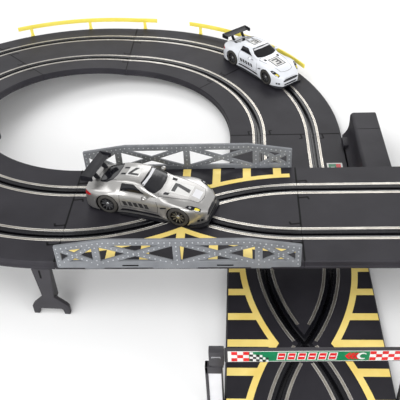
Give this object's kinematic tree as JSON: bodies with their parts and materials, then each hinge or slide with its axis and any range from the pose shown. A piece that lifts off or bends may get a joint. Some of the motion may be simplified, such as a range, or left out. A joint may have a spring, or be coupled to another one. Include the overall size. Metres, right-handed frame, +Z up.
{
  "type": "slot car track set",
  "caption": "Figure-eight slot car circuit with a trussed bridge over a lane-swap straight, ramped curves, guard rails, a finish gantry and GT race cars.",
  "frame": {"origin": "on the table under the point where the upper track crosses over the lower one", "axes": "+X along the bridge, away from its ramped rear curve, +Y along the lower straight towards the connection housing, +Z up"},
  "size_m": [0.926, 0.9278, 0.0961],
  "materials": {
    "track_plastic": "moulded matt black-grey",
    "support_plastic": "moulded matt dark grey",
    "truss_grey": "moulded mid grey with raised rivets",
    "guard_yellow": "moulded satin yellow",
    "banner_green": "printed green, red and white, satin",
    "gantry_black": "moulded matt black",
    "silver_paint": "silver metallic lacquer",
    "white_paint": "white gloss lacquer",
    "window_black": "polished smoked black",
    "trim_black": "moulded satin black",
    "axle_steel": "drawn steel",
    "tyre_black": "black rubber with a dark moulded rim",
    "gear_plastic": "natural nylon",
    "motor_steel": "plated steel can"
  },
  "bodies": {
    "track_layout": {"bridge_crossing": "track_plastic", "bridge_straight": "track_plastic", "connection_straight": "track_plastic", "lower_crossing": "track_plastic", "rear_curve_1": "track_plastic", "rear_curve_2": "track_plastic", "rear_curve_3": "track_plastic", "rear_curve_4": "track_plastic", "rear_curve_5": "track_plastic", "rear_curve_6": "track_plastic", "rear_ramp_column": "support_plastic", "rear_ramp_support": "support_plastic", "rear_top_support": "support_plastic", "rear_bridge_support": "support_plastic", "front_curve_1": "track_plastic", "front_curve_2": "track_plastic", "front_curve_3": "track_plastic", "front_curve_4": "track_plastic", "front_curve_5": "track_plastic", "front_curve_6": "track_plastic", "front_ramp_column": "support_plastic", "front_ramp_support": "support_plastic", "front_top_support": "support_plastic", "front_bridge_support": "support_plastic", "bridge_truss_front": "truss_grey", "bridge_truss_back": "truss_grey", "guard_rail_left": "guard_yellow", "guard_rail_right": "guard_yellow", "gantry_post_left": "gantry_black", "gantry_post_right": "gantry_black", "gantry_banner": "banner_green", "connection_housing": "track_plastic"},
    "silver_car": {"silver_car_body_shell": "silver_paint", "silver_car_window_insert": "window_black", "silver_car_rear_wing": "trim_black", "silver_car_chassis": "trim_black", "silver_car_motor": "motor_steel"},
    "silver_front_axle": {"silver_car_front_axle": "axle_steel", "silver_car_front_left_wheel": "tyre_black", "silver_car_front_right_wheel": "tyre_black"},
    "silver_rear_axle": {"silver_car_rear_axle": "axle_steel", "silver_car_rear_left_wheel": "tyre_black", "silver_car_rear_right_wheel": "tyre_black", "silver_car_crown_gear": "gear_plastic"},
    "silver_motor_shaft": {"silver_car_motor_pinion": "gear_plastic"},
    "silver_guide": {"silver_car_guide_keel": "trim_black"},
    "white_car": {"white_car_body_shell": "white_paint", "white_car_window_insert": "window_black", "white_car_rear_wing": "trim_black", "white_car_chassis": "trim_black", "white_car_motor": "motor_steel"},
    "white_front_axle": {"white_car_front_axle": "axle_steel", "white_car_front_left_wheel": "tyre_black", "white_car_front_right_wheel": "tyre_black"},
    "white_rear_axle": {"white_car_rear_axle": "axle_steel", "white_car_rear_left_wheel": "tyre_black", "white_car_rear_right_wheel": "tyre_black", "white_car_crown_gear": "gear_plastic"},
    "white_motor_shaft": {"white_car_motor_pinion": "gear_plastic"},
    "white_guide": {"white_car_guide_keel": "trim_black"}
  },
  "joints": [
    {"name": "silver_car_drive", "type": "hinge", "parent": "track_layout", "child": "silver_car", "pos_m": [-0.2, -0.15167, 0.0615], "axis": [0, 0, -1], "range_deg": [-25, 2]},
    {"name": "silver_front_axle_spin", "type": "hinge", "parent": "silver_car", "child": "silver_front_axle", "pos_m": [-0.09637, 0.00107, 0.07115], "axis": [0.284, 0.9588, 0], "continuous": true},
    {"name": "silver_rear_axle_spin", "type": "hinge", "parent": "silver_car", "child": "silver_rear_axle", "pos_m": [-0.15869, 0.01953, 0.07115], "axis": [0.284, 0.9588, 0], "continuous": true},
    {"name": "silver_motor_spin", "type": "hinge", "parent": "silver_car", "child": "silver_motor_shaft", "pos_m": [-0.15418, 0.0182, 0.07115], "axis": [0.9588, -0.284, 0], "continuous": true},
    {"name": "silver_guide_swivel", "type": "hinge", "parent": "silver_car", "child": "silver_guide", "pos_m": [-0.10643, 0.00405, 0.06185], "axis": [0, 0, 1], "range_deg": [-8, 8]},
    {"name": "white_car_drive", "type": "hinge", "parent": "track_layout", "child": "white_car", "pos_m": [-0.2, 0.2, 0.01372], "axis": [-0.0249, 0.0297, -0.9993], "range_deg": [-11, 20]},
    {"name": "white_front_axle_spin", "type": "hinge", "parent": "white_car", "child": "white_front_axle", "pos_m": [-0.00349, 0.32197, 0.02211], "axis": [0.7662, 0.6426, 0], "continuous": true},
    {"name": "white_rear_axle_spin", "type": "hinge", "parent": "white_car", "child": "white_rear_axle", "pos_m": [-0.04523, 0.37174, 0.02462], "axis": [0.7662, 0.6426, 0], "continuous": true},
    {"name": "white_motor_spin", "type": "hinge", "parent": "white_car", "child": "white_motor_shaft", "pos_m": [-0.04221, 0.36814, 0.02444], "axis": [0.6422, -0.7656, -0.0387], "continuous": true},
    {"name": "white_guide_swivel", "type": "hinge", "parent": "white_car", "child": "white_guide", "pos_m": [-0.01046, 0.33029, 0.01322], "axis": [0.0249, -0.0297, 0.9993], "range_deg": [-8, 8]}
  ],
  "couplings": [
    {"joint": "silver_motor_spin", "follows": "silver_rear_axle_spin", "ratio": -3},
    {"joint": "white_motor_spin", "follows": "white_rear_axle_spin", "ratio": -3}
  ]
}
